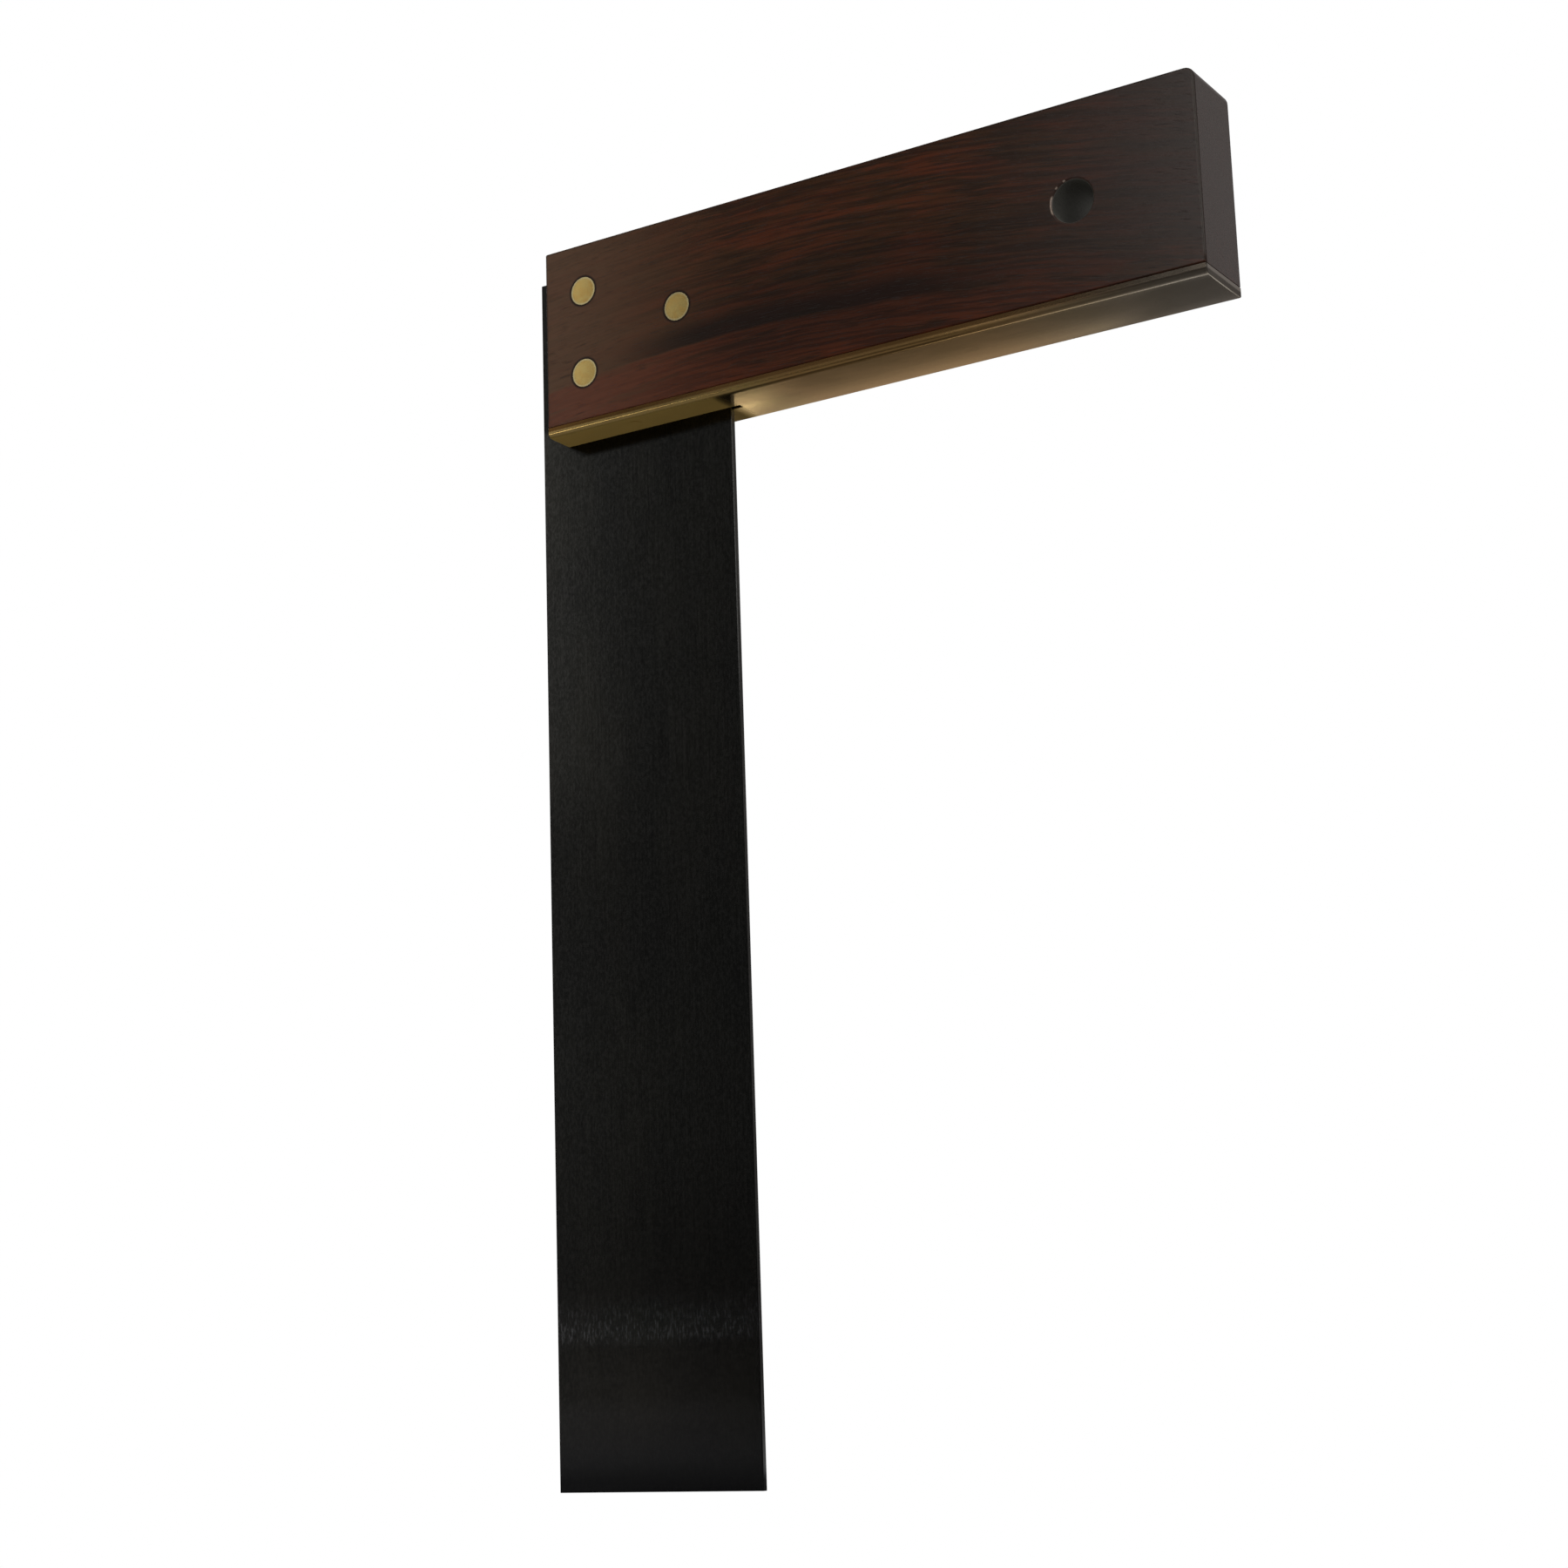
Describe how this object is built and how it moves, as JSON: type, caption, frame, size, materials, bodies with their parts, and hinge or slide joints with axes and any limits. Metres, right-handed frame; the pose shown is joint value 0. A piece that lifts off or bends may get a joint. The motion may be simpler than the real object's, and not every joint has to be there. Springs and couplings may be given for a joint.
{
  "type": "try square",
  "caption": "Carpenter's try square with a brass-faced rosewood stock and a wide blued-steel blade riveted into it at a right angle, for marking and testing square edges.",
  "frame": {"origin": "the square's inner corner: on the blade's inner edge, level with the brass working face, halfway through the thickness", "axes": "+X along the stock from the heel towards its free end; +Y through the thickness, away from the front face; +Z from the blade's tip towards the stock's back edge, so the blade hangs down along -Z"},
  "size_m": [0.1638, 0.0164, 0.268],
  "materials": {
    "rosewood": "dark red-brown rosewood with fine lengthwise grain under a semi-gloss lacquer",
    "brass": "ground flush and lightly polished, faintly brushed lengthwise",
    "blued_steel": "nearly black bluing over fine lengthwise grinding lines"
  },
  "bodies": {
    "root": {"stock": "rosewood", "face_plate": "brass", "blade": "blued_steel", "rivet_heel_upper": "brass", "rivet_heel_lower": "brass", "rivet_inner": "brass", "washer_front_heel_upper": "brass", "washer_front_heel_lower": "brass", "washer_front_inner": "brass", "washer_back_heel_upper": "brass", "washer_back_heel_lower": "brass", "washer_back_inner": "brass", "plate_pin_heel_front": "brass", "plate_pin_heel_back": "brass", "plate_pin_inner": "brass", "plate_pin_middle": "brass", "plate_pin_free_end": "brass"}
  },
  "joints": []
}
